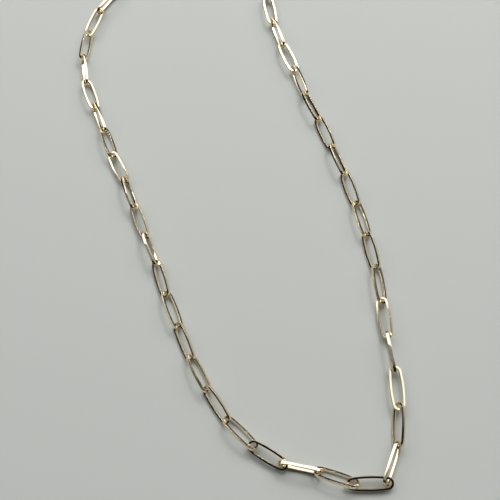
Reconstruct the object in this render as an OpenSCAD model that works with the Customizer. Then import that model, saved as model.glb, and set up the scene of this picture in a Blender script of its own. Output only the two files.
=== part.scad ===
// A paperclip chain necklace, laid flat in an open loop: long oval links of flat wire, each
// passed through the next, and a spring ring that closes the loop.
// Millimetres. Z is up, z = 0 is the surface that it lies on, and the origin is the middle of
// the ground that the whole loop covers.

/* [Links] */
// Length of a link over its ends
link_len = 10.6; // [10:0.1:12]
// Width of a link across its middle
link_w = 3.5; // [3.3:0.05:3.9]
// Outside radius of a link's two ends
end_r = 1.5; // [1.4:0.05:1.6]
// Width of the flat wire, measured in the link's plane
wire_w = 0.55; // [0.45:0.01:0.6]
// Height of the flat wire, measured across the link's plane
wire_t = 0.7; // [0.6:0.01:0.75]
// Flat that softens each of the wire's four edges
edge = 0.1; // [0.05:0.01:0.15]

/* [Clasp] */
// Outside radius of the clasp's ring
ring_r = 3.2; // [3:0.1:4]
// Thickness of the ring's round wire
ring_wire = 0.8; // [0.7:0.05:0.9]
// Outside radius of the small eye on the ring
eye_r = 1.7; // [1.6:0.05:2]
// Thickness of the eye's round wire
eye_wire = 0.7; // [0.6:0.05:0.75]

/* [Lay] */
// How far the middle of a low link or of the clasp may lie below a standing neighbour's
sag = 0.3; // [0.1:0.05:0.3]
// How much of its full reach each link behind the top edge is pulled out to
arch_stretch = 0.92; // [0.88:0.01:0.94]

/* [Hidden] */
// The laid links from the top of the left strand, round the bottom, to the top of the right one
HEADING = 0; // column: degrees from +X that the link points along the strand
LEAN = 1;    // column: degrees that its left side is lifted, 90 standing on edge
STRETCH = 2; // column: distance between its two joints, as a share of the full reach
LAY = [
    [-138, 77, 0.91], [-121, 5, 0.89], [-109, -61, 0.91], [-93, 60, 0.91], [-82, -28, 0.92],
    [-80, 59, 0.91], [-82, -44, 0.91], [-76, 22, 0.91], [-82, -63, 0.93], [-81, 26, 0.92],
    [-80, -70, 0.93], [-84, 35, 0.94], [-81, -40, 0.94], [-79, 38, 0.94], [-75, -46, 0.93],
    [-69, 40, 0.93], [-57, -40, 0.93], [-44, 18, 0.81], [-25, 79, 0.89], [-31, -39, 0.88],
    [-12, 21, 0.75], [56, 63, 0.96], [72, -46, 0.89], [80, 10, 0.92], [85, -96, 0.90],
    [82, -28, 0.91], [83, 40, 0.96], [89, -41, 0.95], [91, 37, 0.96], [94, -42, 0.95],
    [97, 52, 0.96], [98, -42, 0.95], [100, 49, 0.95], [96, -60, 0.93], [98, 16, 0.93],
    [95, -70, 0.93], [87, 20, 0.94], [87, -50, 0.92]
];
// Leans of the links between the laid ones and the clasp, on the left and on the right
LEFT_LEANS = [-72, 40, -42];
RIGHT_LEANS = [42, -42, 40, -72];

// A link's outline is four arcs: two tight ends and two long bowed sides that meet them smoothly
end_x = link_len / 2 - end_r;
side_r = (end_x * end_x / (link_w / 2 - end_r) + end_r + link_w / 2) / 2;
meet = atan2(end_x, side_r - link_w / 2);
// The sides run this far into the ends, a hair inside them, so that the four bends are one solid
lap = 0.1;
seat = 0.002;
facets_end = 96;
facets_side = 1440;
facets_wire = 48;

// Full reach: the distance between a link's two joints with the chain pulled tight
reach = link_len - 2 * wire_w;
ring_mid = ring_r - ring_wire / 2;
eye_mid = eye_r - eye_wire / 2;
// The eye sinks into the ring's wire by half its own, where it is soldered on
eye_x = ring_r + eye_r - eye_wire / 2;
// A link's joint lies this far in from its tip, and the clasp's joints lie as far in from its own
tip = (link_len - arch_stretch * reach) / 2;
clasp_step = ring_r + eye_x + eye_r - 2 * tip;

function unit(a) = [cos(a), sin(a)];
function last(list) = list[len(list) - 1];

// Joints of the laid links, each one stretch on from the one before
laid = [for (i = 0, p = [0, 0]; i <= len(LAY);
             p = i < len(LAY) ? p + LAY[i][STRETCH] * reach * unit(LAY[i][HEADING]) : p, i = i + 1) p];

// The rest of the loop goes straight on, round one bend and straight back to the start
way_out = unit(last(LAY)[HEADING]);
way_in = unit(LAY[0][HEADING]);
arch_turn = LAY[0][HEADING] + 360 - last(LAY)[HEADING];
arch_step = arch_stretch * reach;
arch_len = (len(LEFT_LEANS) + len(RIGHT_LEANS)) * arch_step + clasp_step;
across = laid[0] - last(laid);
out_len = cross(across, way_in) / cross(way_out, way_in);
in_len = cross(way_out, across) / cross(way_out, way_in);
arch_r = (out_len + in_len - arch_len) / (2 * tan(arch_turn / 2) - arch_turn * PI / 180);
out_run = out_len - arch_r * tan(arch_turn / 2);
bend_len = arch_r * arch_turn * PI / 180;
bend_mid = last(laid) + out_run * way_out + arch_r * [-way_out[1], way_out[0]];
function arch_point(s) =
    s < out_run ? last(laid) + s * way_out
    : s < out_run + bend_len
        ? bend_mid + arch_r * unit(last(LAY)[HEADING] - 90 + (s - out_run) / arch_r * 180 / PI)
        : laid[0] - (arch_len - s) * way_in;

// All joints: link i runs from joint i to the next, and the clasp from the last to the first
joints = concat(
    [for (i = [0 : len(LEFT_LEANS) - 1])
        arch_point(len(RIGHT_LEANS) * arch_step + clasp_step + i * arch_step)],
    laid,
    [for (i = [1 : len(RIGHT_LEANS)]) arch_point(i * arch_step)]);
leans = concat(LEFT_LEANS, [for (row = LAY) row[LEAN]], RIGHT_LEANS);
link_count = len(leans);

// How far a link reaches from its middle along a direction given in its own axes
function link_reach(v) =
    let (side = norm([v[0], v[1]]))
    (abs(v[0]) > side * sin(meet)
        ? end_x * abs(v[0]) + end_r * side
        : side_r * side - (side_r - link_w / 2) * abs(v[1]))
    + wire_t / 2 * abs(v[2]) - edge * min(side, abs(v[2]));
function link_rise(lean) = link_reach([0, sin(lean), cos(lean)]);

// A link's middle is as high as its own edge needs, or as its neighbours lift it
function middle_z(i) =
    max(link_rise(leans[i]),
        i > 0 ? link_rise(leans[i - 1]) - sag : 0,
        i < link_count - 1 ? link_rise(leans[i + 1]) - sag : 0);
clasp_z = max(ring_wire / 2, link_rise(leans[0]) - sag, link_rise(last(leans)) - sag);

function heading(a, b) = atan2(b[1] - a[1], b[0] - a[0]);
function span_x(i, sign) =
    let (a = heading(joints[i], joints[i + 1]), m = (joints[i] + joints[i + 1]) / 2, l = leans[i])
    m[0] + sign * link_reach([cos(a), sin(a) * cos(l), sin(a) * sin(l)]);
function span_y(i, sign) =
    let (a = heading(joints[i], joints[i + 1]), m = (joints[i] + joints[i + 1]) / 2, l = leans[i])
    m[1] + sign * link_reach([sin(a), cos(a) * cos(l), cos(a) * sin(l)]);
links = [0 : link_count - 1];
clasp_turn = heading(last(joints), joints[0]);
ring_at = last(joints) + (ring_r - tip) * unit(clasp_turn);
centre = [max([for (i = links) span_x(i, 1)]) + min([for (i = links) span_x(i, -1)]),
          max(ring_at[1] + ring_r, max([for (i = links) span_y(i, 1)]))
          + min([for (i = links) span_y(i, -1)])] / 2;

// Names link_01 to link_45, in order along the chain from the clasp
function link_name(i) = str("link_", i < 9 ? "0" : "", i + 1);

module wire_section(outer_r, inset) {
    x0 = outer_r - wire_w + inset;
    x1 = outer_r - inset;
    z = wire_t / 2 - inset;
    polygon([[x0 + edge, -z], [x1 - edge, -z], [x1, edge - z], [x1, z - edge],
             [x1 - edge, z], [x0 + edge, z], [x0, z - edge], [x0, edge - z]]);
}

module bend(outer_r, half_angle, inset, facets) {
    rotate([0, 0, -half_angle])
        rotate_extrude(angle = 2 * half_angle, $fn = facets)
            wire_section(outer_r, inset);
}

// One closed link, its length along X and its middle at the origin
module oval_link() {
    for (turn = [0, 180]) {
        rotate([0, 0, turn]) translate([end_x, 0, 0])
            bend(end_r, 90 - meet, 0, facets_end);
        rotate([0, 0, turn + 90]) translate([link_w / 2 - side_r, 0, 0])
            bend(side_r, meet + lap, seat, facets_side);
    }
}

// Link i, pointing from its first joint to its second and leaned about that line
module laid_link(i) {
    middle = (joints[i] + joints[i + 1]) / 2 - centre;
    color("#c8b070")
        translate([middle[0], middle[1], middle_z(i)])
            rotate([0, 0, heading(joints[i], joints[i + 1])])
                rotate([leans[i], 0, 0])
                    oval_link();
}

module round_ring(mid_r, wire) {
    rotate_extrude($fn = facets_end)
        translate([mid_r, 0])
            circle(d = wire, $fn = facets_wire);
}

// The closing ring with its soldered eye, one plain solid that lies flat
module clasp() {
    middle = ring_at - centre;
    color("#c8b070")
        translate([middle[0], middle[1], clasp_z])
            rotate([0, 0, clasp_turn]) {
                round_ring(ring_mid, ring_wire);
                translate([eye_x, 0, 0]) round_ring(eye_mid, eye_wire);
            }
}

for (i = links) laid_link(i);
clasp();
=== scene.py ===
import math
import re

import bpy
import numpy as np
from mathutils import Matrix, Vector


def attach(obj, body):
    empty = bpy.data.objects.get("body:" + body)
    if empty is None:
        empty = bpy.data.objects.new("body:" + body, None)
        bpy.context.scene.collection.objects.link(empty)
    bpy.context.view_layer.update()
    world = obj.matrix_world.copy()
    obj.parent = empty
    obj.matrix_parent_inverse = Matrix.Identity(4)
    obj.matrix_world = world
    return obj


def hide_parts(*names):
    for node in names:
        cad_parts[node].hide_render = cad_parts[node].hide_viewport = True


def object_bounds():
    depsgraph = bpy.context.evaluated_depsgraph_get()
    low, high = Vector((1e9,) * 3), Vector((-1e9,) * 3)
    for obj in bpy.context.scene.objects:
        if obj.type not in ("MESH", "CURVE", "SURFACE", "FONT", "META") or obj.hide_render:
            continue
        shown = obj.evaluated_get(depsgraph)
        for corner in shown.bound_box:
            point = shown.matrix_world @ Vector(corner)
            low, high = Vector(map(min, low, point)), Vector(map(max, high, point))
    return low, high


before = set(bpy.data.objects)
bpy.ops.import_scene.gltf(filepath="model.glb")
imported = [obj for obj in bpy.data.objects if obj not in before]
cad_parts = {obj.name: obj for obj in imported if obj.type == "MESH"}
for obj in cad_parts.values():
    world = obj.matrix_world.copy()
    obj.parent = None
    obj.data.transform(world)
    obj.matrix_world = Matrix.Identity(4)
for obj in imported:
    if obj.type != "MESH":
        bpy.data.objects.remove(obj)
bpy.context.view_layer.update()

# The links
# Forty-five closed ovals, each cut from flat drawn wire, bent round a former and soldered shut in
# the middle of one long side while it is hooked through the link before it. The chain is then
# tumbled and plated, so that the wire's faces are bright and nearly flat and its edges soft.
LINK_END_RADIUS = 0.0015
LINK_WIRE_WIDTH = 0.00055
LINK_WIRE_HEIGHT = 0.0007
LINK_EDGE_RADIUS = 0.00003
LINK_FACE_CROWN = 0.000002
LINK_WALL_CROWN = 0.000015
LINK_RINGS = 112
LINK_CORNER_POINTS = 3
# Where points lie across each face and wall of the wire, from one edge to the next
LINK_FACE_SHARES = (0.12, 0.31, 0.5, 0.69, 0.88)
LINK_RING_CROWDING = 0.00875


def solid_axes(node):
    """Centre of mass, middle, lengths and own axes of a closed CAD solid. The axes are those about
    which its volume is spread, longest first: the second moments of the tetrahedra from the centre
    to each triangle, added up with their signs. The middle is halfway along each of them."""
    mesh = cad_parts[node].data
    points = np.empty(len(mesh.vertices) * 3)
    mesh.vertices.foreach_get("co", points)
    points = points.reshape(-1, 3)
    mesh.calc_loop_triangles()
    corners = np.empty(len(mesh.loop_triangles) * 3, dtype=np.int32)
    mesh.loop_triangles.foreach_get("vertices", corners)
    start = points.mean(0)
    triangles = points[corners.reshape(-1, 3)] - start
    volume = np.einsum("ij,ij->i", triangles[:, 0], np.cross(triangles[:, 1], triangles[:, 2])) / 6
    total = triangles.sum(1)
    shift = volume @ total / 4 / volume.sum()
    spread = np.einsum("i,ij,ik->jk", volume, total, total)
    spread = spread + np.einsum("i,ikj,ikl->jl", volume, triangles, triangles)
    spread = spread / 20 - volume.sum() * np.outer(shift, shift)
    strength, axes = np.linalg.eigh(spread)
    axes = axes[:, np.argsort(-strength)].T
    axes[2] = np.cross(axes[0], axes[1])
    centre = start + shift
    reach = (points - centre) @ axes.T
    middle = centre + (reach.max(0) + reach.min(0)) / 2 @ axes
    return centre, middle, reach.max(0) - reach.min(0), axes


def oval_line(share, length, width, end_radius, inward):
    """Point and outward direction along a closed oval of four arcs, a share of the way round from
    the middle of one long side. Two end arcs of end_radius and two side arcs meet with one
    tangent: side radius = (a*a / (b - r) + r + b) / 2, with a the end centres' distance from the
    middle, b half the width and r the end radius. The line lies inward of the outline."""
    a = length / 2 - end_radius
    b = width / 2
    side_radius = (a * a / (b - end_radius) + end_radius + b) / 2
    side_angle = math.atan2(a, side_radius - b)
    side_run = (side_radius - inward) * side_angle
    end_run = (end_radius - inward) * (math.pi / 2 - side_angle)
    quarter, inside = np.divmod(share * 4, 1.0)
    inside = np.where(quarter % 2 == 0, inside, 1 - inside) * (side_run + end_run)
    on_side = inside < side_run
    angle = np.where(
        on_side,
        inside / (side_radius - inward),
        side_angle + (inside - side_run) / (end_radius - inward))
    radius = np.where(on_side, side_radius, end_radius) - inward
    direction = np.stack([np.sin(angle), np.cos(angle)], -1)
    centre = np.stack([np.where(on_side, 0.0, a), np.where(on_side, b - side_radius, 0.0)], -1)
    # One quarter is worked out, and the other three are its mirror images
    flip_length = np.where(quarter < 2, 1.0, -1.0)
    flip_width = np.where((quarter + 1) // 2 % 2 == 0, 1.0, -1.0)
    flip = np.stack([flip_length, flip_width], -1)
    return (centre + radius[:, None] * direction) * flip, direction * flip


def flat_wire_section(width, height, corner, face_crown, wall_crown, steps):
    """Outline of the flat wire as points (outward, up): a rectangle with round corners, whose two
    faces and two walls are raised by a parabola, crown * 4 * share * (1 - share)."""
    quarter = np.arange(4)[:, None]
    turn = (quarter + np.linspace(0, 1, steps + 1)) * math.pi / 2
    corner_middles = np.array([(1, 1), (-1, 1), (-1, -1), (1, -1)])[:, None, :] * (
        np.array([width / 2 - corner - wall_crown, height / 2 - corner - face_crown]))
    corners = corner_middles + corner * np.stack([np.cos(turn), np.sin(turn)], -1)
    start, end = corners[:, -1:], np.roll(corners[:, :1], -1, 0)
    share = np.array(LINK_FACE_SHARES)[:, None]
    crown = np.array([face_crown, wall_crown, face_crown, wall_crown])[:, None, None]
    facing = (quarter + 1) * math.pi / 2
    outward = np.stack([np.cos(facing), np.sin(facing)], -1)
    faces = start + (end - start) * share + crown * 4 * share * (1 - share) * outward
    return np.concatenate([corners, faces], 1).reshape(-1, 2)


def wire_grid(line, outward, up, section):
    """Points of a wire: its section, (outward, up) at each point of a closed line, or one section
    for all of them, carried along that line."""
    section = np.broadcast_to(section, (len(line),) + section.shape[-2:])
    return line[:, None, :] + outward[:, None, :] * section[..., :1] + up * section[..., 1:]


def closed_grid_mesh(name, grids):
    """Mesh of grids of points, each closed on itself both ways. Each comes with the distances along
    the wire and round its section, which go into the UV map round_wire."""
    vertices, faces, uvs, first = [], [], [], 0
    for points, along, around in grids:
        rings, sides = points.shape[:2]
        index = first + np.arange(rings * sides).reshape(rings, sides)
        next_ring = np.roll(index, -1, 0)
        faces.append(np.stack(
            [index, np.roll(index, -1, 1), np.roll(next_ring, -1, 1), next_ring], -1).reshape(-1, 4))
        u = np.stack([along[:-1], along[:-1], along[1:], along[1:]], -1)[:, None, :]
        v = np.stack([around[:-1], around[1:], around[1:], around[:-1]], -1)
        corners = (rings, sides, 4)
        uvs.append(np.stack([np.broadcast_to(u, corners), np.broadcast_to(v, corners)], -1).reshape(-1, 2))
        vertices.append(points.reshape(-1, 3))
        first += rings * sides
    mesh = bpy.data.meshes.new(name)
    mesh.from_pydata(np.concatenate(vertices).tolist(), [], np.concatenate(faces).tolist())
    layer = mesh.uv_layers.new(name="round_wire")
    layer.data.foreach_set("uv", np.concatenate(uvs).reshape(-1))
    mesh.polygons.foreach_set("use_smooth", np.ones(len(mesh.polygons), dtype=bool))
    mesh.update()
    return mesh


def distances(points):
    """Distance along a closed line of points, from its first point round to that point again."""
    steps = np.linalg.norm(np.diff(points, axis=0, append=points[:1]), axis=1)
    return np.concatenate([[0.0], np.cumsum(steps)])


def link_mesh(node):
    """The link's wire section carried round its oval, laid as the CAD solid of that name lies, and
    the distance once round it."""
    middle, sizes, axes = solid_axes(node)[1:]
    even = np.arange(LINK_RINGS) / LINK_RINGS
    # The rings crowd towards the ends, where the wire bends: the share runs slower there
    share = even - LINK_RING_CROWDING * np.sin(4 * math.pi * even)
    line, outward = oval_line(share, sizes[0], sizes[1], LINK_END_RADIUS, LINK_WIRE_WIDTH / 2)
    section = flat_wire_section(
        LINK_WIRE_WIDTH, LINK_WIRE_HEIGHT, LINK_EDGE_RADIUS, LINK_FACE_CROWN, LINK_WALL_CROWN,
        LINK_CORNER_POINTS)
    points = wire_grid(middle + line @ axes[:2], outward @ axes[:2], axes[2], section)
    along = distances(line)
    return closed_grid_mesh(node, [(points, along, distances(section))]), along[-1]


class Shade:
    """A number that varies over a surface. It wraps a socket, and its operators add Math nodes."""

    def __init__(self, finish, socket):
        self.finish = finish
        self.socket = socket

    def maths(self, operation, *values):
        return self.finish.add("Math", {"operation": operation}, dict(enumerate(values)))[0]

    def __add__(self, other):
        return self.maths("ADD", self, other)

    def __sub__(self, other):
        return self.maths("SUBTRACT", self, other)

    def __rsub__(self, other):
        return self.maths("SUBTRACT", other, self)

    def __mul__(self, other):
        return self.maths("MULTIPLY", self, other)

    __radd__ = __add__
    __rmul__ = __mul__

    def within(self, low, high):
        """0 below low, 1 above high and smooth between."""
        limits = {"Value": self, "From Min": low, "From Max": high}
        return self.finish.add("MapRange", {"interpolation_type": "SMOOTHSTEP"}, limits)[0]


class Finish:
    """The nodes of a material or of the room: add puts in one node and returns its outputs."""

    def __init__(self, owner, shader="Principled BSDF"):
        owner.use_nodes = True
        self.owner = owner
        self.tree = owner.node_tree
        self.surface = self.tree.nodes[shader]

    def add(self, kind, settings, sockets):
        node = self.tree.nodes.new("ShaderNode" + kind)
        for key, value in settings.items():
            setattr(node, key, value)
        for key, value in sockets.items():
            self.put(node.inputs[key], value)
        return [Shade(self, socket) for socket in node.outputs]

    def put(self, socket, value):
        if isinstance(value, Shade):
            self.tree.links.new(value.socket, socket)
        else:
            socket.default_value = value

    def blend(self, share, first, second):
        """A colour that goes from the first to the second while share goes from 0 to 1. The Mix
        node has its colours on sockets 6 and 7, and their blend on output 2."""
        return self.add("Mix", {"data_type": "RGBA"}, {0: share, 6: first, 7: second})[2]


CHAMPAGNE_GOLD = (0.82, 0.715, 0.525, 1.0)
WARM_GOLD = (0.79, 0.62, 0.38, 1.0)
SOLDER = (0.78, 0.73, 0.60, 1.0)
# How far from a joint its rubbing and painted warm reflection, or from a seam its solder, is full,
# and how far each reaches
RUBBED_AND_GLINT_FULL, RUBBED_AND_GLINT_REACH = 0.0003, 0.0016
SOLDER_FULL, SOLDER_REACH = 0.00009, 0.000135
SOLDER_SHOWS = 0.7
# At the joints the warm tint is partly rubbed wear and partly a painted warm reflection of the next link;
# the warm tint by drift is the plate's own tone
WARM_WHERE_RUBBED_AND_GLINT, WARM_BY_DRIFT = 0.55, 0.35
# Features to the metre: of the round ones, and of the drawn ones along the wire and across it
DRIFT_SCALE = 210.0
PEEL_SCALE = 3800.0
POLISH_SCALE = (500.0, 14000.0)
HAIRLINE_SCALE = (700.0, 26000.0)
BROAD_LINE_SCALE = (1200.0, 16000.0)
# Of the noise that makes the scratches, only what lies above these shows
HAIRLINE_FROM, HAIRLINE_FULL = 0.70, 0.76
BROAD_LINE_FROM, BROAD_LINE_FULL = 0.72, 0.78
PLATE_ROUGHNESS = 0.035
POLISH_ROUGHNESS, DRIFT_ROUGHNESS, SCRATCH_ROUGHNESS, SOLDER_ROUGHNESS = 0.03, 0.03, 0.12, 0.10
POLISH_RELIEF, PEEL_RELIEF, SCRATCH_RELIEF, SOLDER_RELIEF = 0.5, 0.6, 0.5, 0.4
RELIEF_STRENGTH = 0.06
RELIEF_HEIGHT = 0.000006


def plated_gold(name, joint_places, seam_places):
    """Bright pale gold plate over brass. Along the wire run faint polishing lines and a few
    scratches; the plate drifts a little in colour, and at each joint place, where the next piece
    hangs, it is rubbed warmer and painted with a warm reflection of that piece. At each seam place
    the wire is soldered: paler and duller."""
    finish = Finish(bpy.data.materials.new(name))
    place = finish.add("TexCoord", {}, {})[3]
    round_wire = finish.add("UVMap", {"uv_map": "round_wire"}, {})[0]
    distance = finish.add("SeparateXYZ", {}, {"Vector": round_wire})[0]

    def noise(vector, scale, detail):
        return finish.add("TexNoise", {}, {"Vector": vector, "Scale": scale, "Detail": detail})[0]

    def drawn(scale, turn=0.0):
        """The place round the wire, stretched to the scale. The turn comes after the stretch, so it
        only picks another part of the noise."""
        stretch = {"Vector": round_wire, "Scale": scale + (1.0,), "Rotation": (0.0, 0.0, turn)}
        return finish.add("Mapping", {}, stretch)[0]

    def bands(middles, full, reach):
        """1 within full of any middle, fading to 0 at reach."""
        total = 0.0
        for middle in middles:
            total = total + distance.within(middle - reach, middle - full) * (
                1 - distance.within(middle + full, middle + reach))
        return total

    drift = noise(place, DRIFT_SCALE, 2.0)
    polish = noise(drawn(POLISH_SCALE), 1.0, 3.0)
    hairline = noise(drawn(HAIRLINE_SCALE), 1.0, 0.0)
    broad_line = noise(drawn(BROAD_LINE_SCALE, 0.5), 1.0, 0.0)
    peel = noise(place, PEEL_SCALE, 1.0)
    scratches = hairline.within(HAIRLINE_FROM, HAIRLINE_FULL) + (
        broad_line.within(BROAD_LINE_FROM, BROAD_LINE_FULL))
    # Painted warm reflection of the next piece at each joint, together with its rubbed wear
    rubbed_and_painted_glint = bands(joint_places, RUBBED_AND_GLINT_FULL, RUBBED_AND_GLINT_REACH)
    seam = bands(seam_places, SOLDER_FULL, SOLDER_REACH)
    warm = WARM_WHERE_RUBBED_AND_GLINT * rubbed_and_painted_glint + WARM_BY_DRIFT * drift.within(0.5, 0.75)
    plate = finish.blend(warm, CHAMPAGNE_GOLD, WARM_GOLD)
    finish.put(finish.surface.inputs["Base Color"], finish.blend(seam * SOLDER_SHOWS, plate, SOLDER))
    finish.surface.inputs["Metallic"].default_value = 1.0
    roughness = PLATE_ROUGHNESS + POLISH_ROUGHNESS * polish.within(0.45, 0.8)
    roughness = roughness + DRIFT_ROUGHNESS * drift.within(0.45, 0.7)
    roughness = roughness + SCRATCH_ROUGHNESS * scratches + SOLDER_ROUGHNESS * seam
    finish.put(finish.surface.inputs["Roughness"], roughness)
    relief = POLISH_RELIEF * polish + PEEL_RELIEF * peel
    relief = relief - SCRATCH_RELIEF * scratches - SOLDER_RELIEF * seam
    bump = finish.add(
        "Bump", {}, {"Strength": RELIEF_STRENGTH, "Distance": RELIEF_HEIGHT, "Height": relief})[0]
    finish.put(finish.surface.inputs["Normal"], bump)
    return finish.owner


link_nodes = sorted(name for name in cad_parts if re.fullmatch(r"link_\d+", name))
chain_gold = None
for node in link_nodes:
    mesh, round_length = link_mesh(node)
    if chain_gold is None:
        chain_gold = plated_gold(
            "chain_gold_plate", (round_length / 4, round_length * 3 / 4), (0.0, round_length))
    mesh.materials.append(chain_gold)
    link = bpy.data.objects.new("wire_" + node, mesh)
    bpy.context.scene.collection.objects.link(link)
    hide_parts(node)
    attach(link, "root")

# The clasp
# A plain closing ring of round wire with a small eye soldered to it. One end link is held in the
# ring and the other in the eye. Both are wound from gold-plated wire, and the solder flares the
# eye's wire where it meets the ring.
CLASP_RING_RADIUS = 0.0028
CLASP_RING_WIRE = 0.0004
CLASP_EYE_RADIUS = 0.00135
CLASP_EYE_WIRE = 0.00035
CLASP_SOLDER_FLARE = 0.00016
CLASP_SOLDER_SPREAD = 0.45
CLASP_WIRE_SIDES = 32
CLASP_RINGS = 96


def wire_ring(middle, towards, sideways, up, radius, wire, flare):
    """A ring of round wire: angle t from towards, out from the middle by radius, round section of
    radius wire. Near t = 0 the section widens in the ring's plane by flare * exp(-(t / s)^2), with
    s the spread of the solder. Returns its points and the distances along it and round the wire."""
    turn = np.arange(CLASP_RINGS) * 2 * math.pi / CLASP_RINGS
    outward = np.cos(turn)[:, None] * towards + np.sin(turn)[:, None] * sideways
    around = np.arange(CLASP_WIRE_SIDES) * 2 * math.pi / CLASP_WIRE_SIDES
    section = np.stack([np.cos(around), np.sin(around)], -1) * wire
    from_solder = np.minimum(turn, 2 * math.pi - turn) / CLASP_SOLDER_SPREAD
    widened = 1 + flare / wire * np.exp(-from_solder ** 2)
    section = section * np.stack([widened, np.ones(CLASP_RINGS)], -1)[:, None, :]
    points = wire_grid(middle + radius * outward, outward, up, section)
    along = radius * np.append(turn, 2 * math.pi)
    return points, along, wire * np.append(around, 2 * math.pi)


clasp_centre, clasp_middle, clasp_sizes, clasp_axes = solid_axes("clasp")
# The ring is the heavier end, so the eye lies from the centre of mass towards the middle
to_eye = clasp_axes[0] * np.sign((clasp_middle - clasp_centre) @ clasp_axes[0])
clasp_up = clasp_axes[2]
clasp_side = np.cross(clasp_up, to_eye)
ring_middle = clasp_middle - to_eye * (clasp_sizes[0] / 2 - CLASP_RING_RADIUS - CLASP_RING_WIRE)
eye_middle = clasp_middle + to_eye * (clasp_sizes[0] / 2 - CLASP_EYE_RADIUS - CLASP_EYE_WIRE)
ring_grid = wire_ring(
    ring_middle, to_eye, clasp_side, clasp_up, CLASP_RING_RADIUS, CLASP_RING_WIRE, 0.0)
eye_points, eye_along, eye_around = wire_ring(
    eye_middle, -to_eye, -clasp_side, clasp_up, CLASP_EYE_RADIUS, CLASP_EYE_WIRE, CLASP_SOLDER_FLARE)
# The eye's distances follow on from the ring's, so that one material finds each joint and seam
ring_length, eye_length = ring_grid[1][-1], eye_along[-1]
clasp_mesh = closed_grid_mesh("clasp", [ring_grid, (eye_points, ring_length + eye_along, eye_around)])
clasp_mesh.materials.append(plated_gold(
    "clasp_gold_plate",
    (ring_length / 2, ring_length + eye_length / 2),
    (0.0, ring_length, ring_length + eye_length)))
clasp = bpy.data.objects.new("closing_ring", clasp_mesh)
bpy.context.scene.collection.objects.link(clasp)
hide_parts("clasp")
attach(clasp, "root")

# The surface, the room, the lights and the view
# A pale plain table in a dark room, lit by one wide soft panel beyond the far end of the loop and
# by two smaller ones at the right. The links' faces mirror the panels as white, the table as khaki
# and the dark room as black.
FLOOR_HALF = 4.0
FLOOR_COLOUR = (0.635, 0.665, 0.645, 1.0)
FLOOR_ROUGHNESS = 0.85
floor_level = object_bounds()[0][2]
floor_mesh = bpy.data.meshes.new("surface")
floor_mesh.from_pydata(
    [(x * FLOOR_HALF, y * FLOOR_HALF, floor_level) for x, y in ((-1, -1), (1, -1), (1, 1), (-1, 1))],
    [], [(0, 1, 2, 3)])
floor = bpy.data.objects.new("surface", floor_mesh)
bpy.context.scene.collection.objects.link(floor)
pale = Finish(bpy.data.materials.new("pale_surface"))
pale.surface.inputs["Base Color"].default_value = FLOOR_COLOUR
pale.surface.inputs["Roughness"].default_value = FLOOR_ROUGHNESS
floor_mesh.materials.append(pale.owner)

# The room is dark behind the loop's near end, and ahead of it up to 19 degrees above the table.
# From there it pales to a dull grey ceiling, which is full from 31 degrees.
ROOM_DARK = (0.012, 0.012, 0.012, 1.0)
ROOM_CEILING = (0.27, 0.275, 0.275, 1.0)
DARK_UP_TO = math.sin(math.radians(19))
CEILING_FROM = math.sin(math.radians(31))
CEILING_EDGE = 0.1
room = Finish(bpy.data.worlds.new("room"), "Background")
direction = room.add("TexCoord", {}, {})[0]
ahead, height = room.add("SeparateXYZ", {}, {"Vector": direction})[1:]
ceiling = height.within(DARK_UP_TO, CEILING_FROM) * ahead.within(-CEILING_EDGE, CEILING_EDGE)
room.put(room.surface.inputs["Color"], room.blend(ceiling, ROOM_DARK, ROOM_CEILING))
bpy.context.scene.world = room.owner

# The wide panel is level, and its sides run out from the loop's middle and across
PANEL_TURN = math.radians(75)
PANEL_OUT = np.array([math.cos(PANEL_TURN), math.sin(PANEL_TURN), 0.0])
PANEL_ACROSS = np.array([math.sin(PANEL_TURN), -math.cos(PANEL_TURN), 0.0])
PANEL_UP = np.array([0.0, 0.0, 1.0])
PANEL_NEAR, PANEL_FAR = 0.27, 2.1
PANEL_LEFT, PANEL_RIGHT = -1.7, 2.2
PANEL_HEIGHT = 1.0
PANEL_POWER = 41.0
PANEL_WHITE = (1.0, 0.985, 0.96)
WINDOW_PLACE = np.array([0.6, 0.7, 0.85])
WINDOW_SIDE = 0.3
WINDOW_POWER = 3.1
WINDOW_WHITE = (1.0, 0.98, 0.95)
SIDE_PANEL_PLACE = np.array([0.64, 0.1, 1.02])
SIDE_PANEL_SIDE = 0.4
SIDE_PANEL_POWER = 0.62


def soft_panel(name, place, away, width, depth, power, colour):
    """A flat area light at a place. away is the direction of its back, and its width lies at right
    angles to that and to the way out to the wide panel."""
    lamp = bpy.data.lights.new(name, "AREA")
    lamp.shape = "RECTANGLE"
    lamp.size = width
    lamp.size_y = depth
    lamp.energy = power
    lamp.color = colour
    light = bpy.data.objects.new(name, lamp)
    back = away / np.linalg.norm(away)
    side = np.cross(PANEL_OUT, back)
    side = side / np.linalg.norm(side)
    up = np.cross(back, side)
    light.matrix_world = Matrix([
        [side[0], up[0], back[0], place[0]],
        [side[1], up[1], back[1], place[1]],
        [side[2], up[2], back[2], place[2]],
        [0, 0, 0, 1]])
    bpy.context.scene.collection.objects.link(light)


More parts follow.
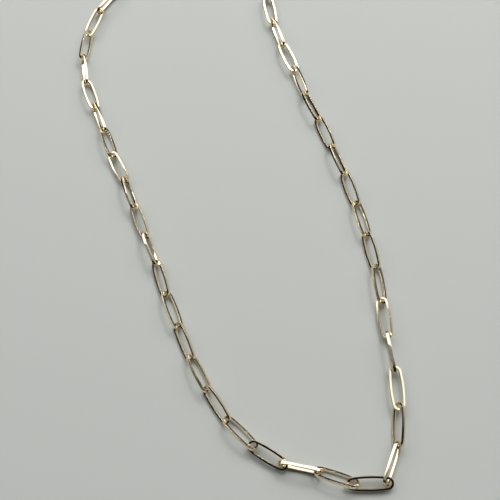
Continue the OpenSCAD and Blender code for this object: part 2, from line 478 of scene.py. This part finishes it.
panel_place = (
    (PANEL_NEAR + PANEL_FAR) / 2 * PANEL_OUT
    + (PANEL_LEFT + PANEL_RIGHT) / 2 * PANEL_ACROSS
    + PANEL_HEIGHT * PANEL_UP)
soft_panel(
    "wide_panel", panel_place, PANEL_UP, PANEL_RIGHT - PANEL_LEFT, PANEL_FAR - PANEL_NEAR,
    PANEL_POWER, PANEL_WHITE)
soft_panel("window", WINDOW_PLACE, WINDOW_PLACE, WINDOW_SIDE, WINDOW_SIDE, WINDOW_POWER, WINDOW_WHITE)
soft_panel(
    "side_panel", SIDE_PANEL_PLACE, SIDE_PANEL_PLACE, SIDE_PANEL_SIDE, SIDE_PANEL_SIDE,
    SIDE_PANEL_POWER, PANEL_WHITE)

# The camera stands as the photograph's did: over the loop, tilted a little towards its far end and
# turned about its own axis. CAMERA_FOOT is the point straight below it.
PHOTO_PIXELS = 500
CAMERA_FOCAL_PIXELS = 750.0
SENSOR_MM = 36.0
CAMERA_HEIGHT = 0.17945
CAMERA_FOOT = (0.0022767, -0.0976011)
CAMERA_TILT = math.radians(22.26)
CAMERA_ROLL = math.radians(-13.72)
CAMERA_NEAREST = 0.005
lens = bpy.data.cameras.new("view")
lens.sensor_width = SENSOR_MM
lens.lens = SENSOR_MM * CAMERA_FOCAL_PIXELS / PHOTO_PIXELS
lens.clip_start = CAMERA_NEAREST
camera = bpy.data.objects.new("view", lens)
level_right = np.array([1.0, 0.0, 0.0])
level_up = np.array([0.0, math.cos(CAMERA_TILT), math.sin(CAMERA_TILT)])
back = np.array([0.0, -math.sin(CAMERA_TILT), math.cos(CAMERA_TILT)])
right = math.cos(CAMERA_ROLL) * level_right + math.sin(CAMERA_ROLL) * level_up
up = math.cos(CAMERA_ROLL) * level_up - math.sin(CAMERA_ROLL) * level_right
camera.matrix_world = Matrix([
    [right[0], up[0], back[0], CAMERA_FOOT[0]],
    [right[1], up[1], back[1], CAMERA_FOOT[1]],
    [right[2], up[2], back[2], CAMERA_HEIGHT],
    [0, 0, 0, 1]])
bpy.context.scene.collection.objects.link(camera)
bpy.context.scene.camera = camera
bpy.context.scene.view_settings.view_transform = "Standard"
